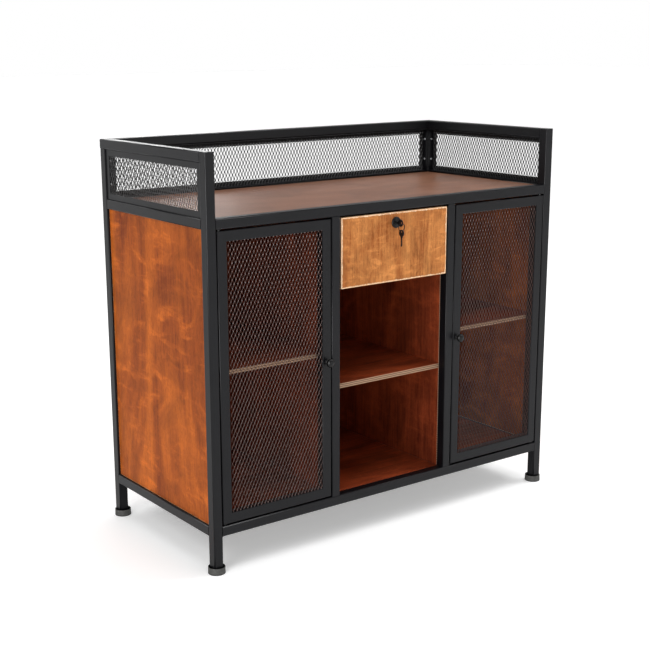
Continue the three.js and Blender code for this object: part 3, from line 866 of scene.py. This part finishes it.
class BUFFET_OT_gallery_screws(bpy.types.Operator):
    """Make the screws that hold the gallery frames to the posts"""

    bl_idname = "buffet.gallery_screws"
    bl_label = "Gallery Screws"

    def execute(self, context):
        radius = sizes().screw_radius
        sheet, from_outside, above, below = 0.002, 0.0095, 0.035, 0.030
        sunk, recess, recess_top, recess_floor = 0.0004, 0.0011, 0.0010, 0.0008
        dome = arc(0, 0, radius, 0, 72, 6, tall=radius * 0.62)
        profile = [(0, -sunk), (radius, -sunk), *dome, (recess, recess_top), (0, recess_floor)]
        bm = bmesh.new()
        for _, wall, width, height in gallery_walls():
            for across, axis in ((sheet, wall.right), (width - sheet, -wall.right)):
                for up in (above, height - below):
                    turned(bm, profile, wall.at(across, from_outside, up), axis, 20)
        finish_piece("gallery_screws", bm, "cabinet", ["zinc"])
        return {"FINISHED"}


class BUFFET_OT_doors(bpy.types.Operator):
    """Make the two doors: mitred tube frames, expanded mesh and turned knobs"""

    bl_idname = "buffet.doors"
    bl_label = "Doors"

    def execute(self, context):
        for side, _ in SIDES:
            body = f"door_{side}"
            node = f"door_frame_{side}"
            low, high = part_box(node)
            tube = high.y - low.y
            wall = Wall(low, X, Y)
            width, height = high.x - low.x, high.z - low.z
            bm = bmesh.new()
            (rim,) = ring_face(bm, wall, width, height, tube)
            extruded(bm, rim, Y * tube)
            face_outwards(bm)
            long_edges = [edge for edge in bm.edges if folded(edge) and not runs_along(edge, Y)]
            round_edges(bm, long_edges, sizes().tube_radius, 4)
            steel_piece(f"{node}_tube", bm, body, node)

            node = f"door_mesh_{side}"
            low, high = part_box(node)
            bm = bmesh.new()
            wall = Wall(low, X, Y)
            mesh_sheet(bm, wall, high.x - low.x, high.z - low.z, (high.y - low.y) / 2, sizes().door_strand)
            finish_piece(f"{node}_strands", bm, body, ["door_mesh_coat"], [node])
            self.knob(f"door_knob_{side}", body)
        return {"FINISHED"}

    @staticmethod
    def knob(node, body):
        low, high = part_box(node)
        centre = middle_of(node)
        centre.y = high.y
        head, length = (high.x - low.x) / 2, high.y - low.y
        foot, neck, swell = head * 0.65, head * 0.45, length * 0.36
        plate, rim, hollow = 0.0020, 0.0008, 0.0022
        profile = [(0, 0), (foot, 0), *arc(foot - rim, plate - rim, rim, 0, 90, 3)]
        profile += [*arc(neck + hollow, plate + hollow, hollow, 270, 180, 4)]
        profile += [*arc(0, length - swell, head, -58, 90, 14, tall=swell)]
        bm = bmesh.new()
        turned(bm, profile, centre, -Y, 40)
        finish_piece(f"{node}_turned", bm, body, ["black_enamel"], [node])


# ------------------------------------------------------------------ lock and keys


class BUFFET_OT_lock(bpy.types.Operator):
    """Make the lock's round rose and barrel, and the plug that turns in it"""

    bl_idname = "buffet.lock"
    bl_label = "Drawer Lock"

    def execute(self, context):
        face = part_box("drawer_front")[0].y
        low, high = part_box("lock_housing")
        plug_low, plug_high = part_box("lock_plug")
        centre = middle_of("lock_housing")
        centre.y = face
        rose, barrel, bore = (high.x - low.x) / 2, 0.009, (plug_high.x - plug_low.x) / 2
        proud, behind = face - low.y, face - high.y
        dome, recess, slope, chamfer = 0.0016, 0.0006, 0.0005, 0.0004
        profile = [(bore, behind), (barrel, behind), (barrel, 0), (rose, 0)]
        profile += [*arc(rose - dome, proud - dome, dome, 0, 90, 5)]
        profile += [(barrel, proud), (barrel - slope, proud - recess)]
        profile += [(bore + chamfer, proud - recess), (bore, proud - recess - chamfer)]
        bm = bmesh.new()
        turned(bm, profile, centre, -Y, 64, loop=True)
        finish_piece("lock_rose", bm, "drawer", ["black_enamel"], ["lock_housing"])

        front, back = face - plug_low.y, face - plug_high.y
        profile = [(0, back), (bore, back), (bore, front - chamfer), (bore - chamfer, front), (0, front)]
        bm = bmesh.new()
        turned(bm, profile, centre, -Y, 48)
        finish_piece("lock_plug_turned", bm, "lock_core", ["key_black"], ["lock_plug"])
        return {"FINISHED"}


def key_piece(node, name, body, tip, side):
    """A flat key in the upright plane: a round bow with an off-centre hole, a collar and a cut blade."""
    low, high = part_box(node)
    thick = high.x - low.x
    bow = abs((high - low).dot(side)) / 2
    total = abs((high - low).dot(tip))
    hole, hole_off, edge_radius = 0.0026, 0.004, 0.0002
    collar, shoulder = 0.0035, 0.002
    blade, first_cut, point, slant = 0.0025, 0.004, 0.002, 0.0005
    cuts = (0.0009, 0.0014, 0.0006, 0.0012, 0.0008, 0.0004)
    centre = middle_of(node) - tip * (total / 2 - bow)
    centre.x = low.x
    turn = Matrix((side, tip, X)).transposed().to_4x4()
    bm = bmesh.new()
    loops = []
    for middle, radius in ((centre, bow), (centre - tip * hole_off, hole)):
        place = Matrix.Translation(middle) @ turn
        ring = bmesh.ops.create_circle(bm, segments=36, radius=radius, matrix=place)["verts"]
        loops += {edge for vert in ring for edge in vert.link_edges}
    ring = bmesh.ops.bridge_loops(bm, edges=loops)["faces"]
    extruded(bm, ring, X * thick)

    def outline(points):
        return [centre + side * u + tip * v for u, v in points]

    base, top = bow * 0.8, bow + shoulder
    collar_points = [(-collar, base), (collar, base), (collar, top), (-collar, top)]
    extruded(bm, [flat_face(bm, outline(collar_points))], X * thick)
    reach = total - bow
    step = (reach - bow - first_cut - point) / len(cuts)
    notches = []
    for index, cut in enumerate(cuts):
        at = bow + first_cut + step * index
        notches += [(blade, at), (blade - cut, at + step * 0.35), (blade - cut, at + step * 0.65)]
    tip_points = [(blade, reach - point), (0, reach), (-blade, reach - point - slant)]
    points = [(-blade, bow), (blade, bow), *notches, *tip_points]
    slim = X * thick * 0.2
    face = flat_face(bm, [point + slim for point in outline(points)])
    extruded(bm, [face], X * thick - 2 * slim)
    face_outwards(bm)
    rims = [edge for edge in bm.edges if folded(edge) and not runs_along(edge, X)]
    round_edges(bm, rims, edge_radius, 2)
    smooth_below(bm)
    finish_piece(name, bm, body, ["key_black"], [node])


class BUFFET_OT_keys(bpy.types.Operator):
    """Make the key in the lock, the split ring and the key that hangs from it"""

    bl_idname = "buffet.keys"
    bl_label = "Keys and Ring"

    def execute(self, context):
        key_piece("lock_key", "key_in_lock", "lock_core", Y, Z)
        key_piece("spare_key", "key_hanging", "hanging_key", -Z, Y)
        low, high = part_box("key_ring")
        wire, turns, steps = sizes().ring_wire, 1.8, 90
        centre = middle_of("key_ring")
        radius = (high.x - low.x) / 2 - wire
        pitch = 2.1 * wire
        start = centre + Z * radius - Y * pitch * turns / 2
        bm = bmesh.new()
        place = Matrix.Translation(start) @ Matrix.Rotation(math.pi / 2, 4, "Y")
        bmesh.ops.create_circle(bm, segments=8, radius=wire, cap_ends=True, matrix=place)
        bmesh.ops.spin(
            bm, geom=bm.verts[:] + bm.edges[:] + bm.faces[:], cent=centre, axis=Y,
            dvec=Y * pitch * turns / steps, angle=2 * math.pi * turns, steps=steps)
        face_outwards(bm)
        smooth_below(bm)
        finish_piece("split_ring", bm, "ring", ["key_black"], ["key_ring"])
        return {"FINISHED"}


class BUFFET_OT_hardware_finish(bpy.types.Operator):
    """Give the slides and the lock cam their zinc finish, and the hinge pins black enamel"""

    bl_idname = "buffet.hardware_finish"
    bl_label = "Slides and Pins"

    def execute(self, context):
        plated = [f"{part}_{side}" for part in ("slide_channel", "slide_runner") for side, _ in SIDES]
        blackened = [f"hinge_pin_{end}_{side}" for end in ("top", "bottom") for side, _ in SIDES]
        for nodes, material in (((*plated, "lock_cam"), "zinc"), (blackened, "black_enamel")):
            for node in nodes:
                for slot in frame["nodes"][node].material_slots:
                    slot.material = finish_named(material)
        return {"FINISHED"}


# ------------------------------------------------------------------ stage


def area_light(name, place, target, size, watts, gleam_only):
    """A softbox; one that only gleams shows in glossy surfaces and lights nothing."""
    lamp = bpy.data.lights.new(name, "AREA")
    lamp.shape = "RECTANGLE"
    lamp.size, lamp.size_y = size
    lamp.energy = watts
    light = add_object(name, lamp)
    light.location = place
    light.rotation_euler = (Vector(target) - Vector(place)).to_track_quat("-Z", "Y").to_euler()
    light.visible_camera = False
    light.visible_diffuse = not gleam_only


class BUFFET_OT_stage(bpy.types.Operator):
    """Make the floor, the surround, the lights and the camera"""

    bl_idname = "buffet.stage"
    bl_label = "Stage"

    def execute(self, context):
        scene = context.scene
        stage = scene.buffet_stage
        self.floor(stage)
        self.surround(scene, stage)
        middle = (CAD_BOX[0] + CAD_BOX[1]) / 2
        for name, place, size, watts, gleam_only in (
                ("key_light", (-12.0, -6.0, 12.0), (7.6, 7.6), stage.key, False),
                ("fill_light", (0.9, -4.2, 1.8), (3.0, 2.2), stage.fill, False),
                ("rim_light", (1.75, 4.2, 1.42), (1.1, 0.5), stage.rim, True),
                ("strip_light", (-2.5, -1.5, 0.95), (1.5, 1.9), stage.strip, True),
                ("edge_light", (3.0, -1.0, 4.2), (2.0, 2.0), stage.edge, False)):
            area_light(name, place, middle, size, watts, gleam_only)
        even = bpy.data.lights.new("even_light", "SUN")
        even.energy, even.angle = stage.even, stage.spread
        overhead = add_object("even_light", even)
        shines = Vector((-0.12, -0.15, -1))
        overhead.rotation_euler = shines.to_track_quat("-Z", "Y").to_euler()

        lens = bpy.data.cameras.new("main_view")
        lens.lens = stage.lens
        lens.sensor_width = 36
        lens.shift_x, lens.shift_y = stage.shift
        camera = add_object("main_view", lens)
        level = Euler((math.pi / 2 - stage.pitch, 0, -stage.yaw)).to_matrix()
        turn = level @ Matrix.Rotation(stage.roll, 3, "Z")
        camera.matrix_world = Matrix.Translation(stage.camera_place) @ turn.to_4x4()
        scene.camera = camera
        scene.view_settings.view_transform = "Standard"
        return {"FINISHED"}

    @staticmethod
    def floor(stage):
        bm = bmesh.new()
        bmesh.ops.create_grid(bm, x_segments=2, y_segments=2, size=FLOOR_REACH)
        mesh = bpy.data.meshes.new("floor")
        bm.to_mesh(mesh)
        bm.free()
        finish = Finish("studio_floor", specular=0.2)
        grime = finish.noise(finish.place, 3, 2)
        pale = tuple(stage.floor)
        finish.paint(finish.ramp(grime, (0.3, scaled(pale, 0.99)), (0.7, pale)))
        finish.gloss(grime, 0.7, 0.8)
        finish.shader.inputs["Emission Color"].default_value = (1, 1, 1, 1)
        finish.shader.inputs["Emission Strength"].default_value = stage.glow
        mesh.materials.append(finish.material)
        add_object("floor", mesh)

    @staticmethod
    def surround(scene, stage):
        """White where the camera sees it; as a light it is white near the horizon and dim above."""
        world = bpy.data.worlds.new("studio")
        scene.world = world
        world.use_nodes = True
        tree = world.node_tree
        seen = tree.nodes["Background"]
        seen.inputs["Color"].default_value = (1, 1, 1, 1)
        lit = tree.nodes.new("ShaderNodeBackground")
        lit.inputs["Color"].default_value = (1, 1, 1, 1)
        way = tree.nodes.new("ShaderNodeTexCoord")
        parts = tree.nodes.new("ShaderNodeSeparateXYZ")
        fade = tree.nodes.new("ShaderNodeMapRange")
        fade.inputs["From Min"].default_value, fade.inputs["From Max"].default_value = HORIZON
        fade.inputs["To Min"].default_value, fade.inputs["To Max"].default_value = 1.0, stage.surround
        rays = tree.nodes.new("ShaderNodeLightPath")
        choice = tree.nodes.new("ShaderNodeMixShader")
        for output, socket in (
                (way.outputs["Generated"], parts.inputs[0]),
                (parts.outputs["Z"], fade.inputs["Value"]),
                (fade.outputs[0], lit.inputs["Strength"]),
                (rays.outputs["Is Camera Ray"], choice.inputs[0]),
                (lit.outputs[0], choice.inputs[1]),
                (seen.outputs[0], choice.inputs[2]),
                (choice.outputs[0], tree.nodes["World Output"].inputs[0])):
            tree.links.new(output, socket)


# ------------------------------------------------------------------ add-on


MAKERS = (
    BUFFET_OT_frame_tubes,
    BUFFET_OT_gallery_rail,
    BUFFET_OT_welds,
    BUFFET_OT_feet,
    BUFFET_OT_boards,
    BUFFET_OT_drawer,
    BUFFET_OT_gallery,
    BUFFET_OT_gallery_screws,
    BUFFET_OT_doors,
    BUFFET_OT_lock,
    BUFFET_OT_keys,
    BUFFET_OT_hardware_finish,
    BUFFET_OT_stage,
)


class BUFFET_PT_panel(bpy.types.Panel):
    """The buffet's makers and settings"""

    bl_idname = "BUFFET_PT_panel"
    bl_label = "Sideboard Buffet"
    bl_space_type = "VIEW_3D"
    bl_region_type = "UI"
    bl_category = "Buffet"

    def draw(self, context):
        makers = self.layout.column(align=True)
        for maker in MAKERS:
            makers.operator(maker.bl_idname)
        for group in (context.scene.buffet_sizes, context.scene.buffet_colours, context.scene.buffet_stage):
            box = self.layout.box()
            for name in group.bl_rna.properties.keys():
                if name not in ("rna_type", "name"):
                    box.prop(group, name)


SETTINGS = (("buffet_sizes", BuffetSizes), ("buffet_colours", BuffetColours), ("buffet_stage", BuffetStage))


def register():
    for name, group in SETTINGS:
        bpy.utils.register_class(group)
        setattr(bpy.types.Scene, name, PointerProperty(type=group))
    for maker in (*MAKERS, BUFFET_PT_panel):
        bpy.utils.register_class(maker)


def unregister():
    for maker in reversed((*MAKERS, BUFFET_PT_panel)):
        bpy.utils.unregister_class(maker)
    for name, group in reversed(SETTINGS):
        delattr(bpy.types.Scene, name)
        bpy.utils.unregister_class(group)


def main():
    register()
    bpy.ops.buffet.frame_tubes()
    bpy.ops.buffet.gallery_rail()
    bpy.ops.buffet.welds()
    bpy.ops.buffet.feet()
    bpy.ops.buffet.boards()
    bpy.ops.buffet.drawer()
    bpy.ops.buffet.gallery()
    bpy.ops.buffet.gallery_screws()
    bpy.ops.buffet.doors()
    bpy.ops.buffet.lock()
    bpy.ops.buffet.keys()
    bpy.ops.buffet.hardware_finish()
    bpy.ops.buffet.stage()


if __name__ == "__main__":
    main()
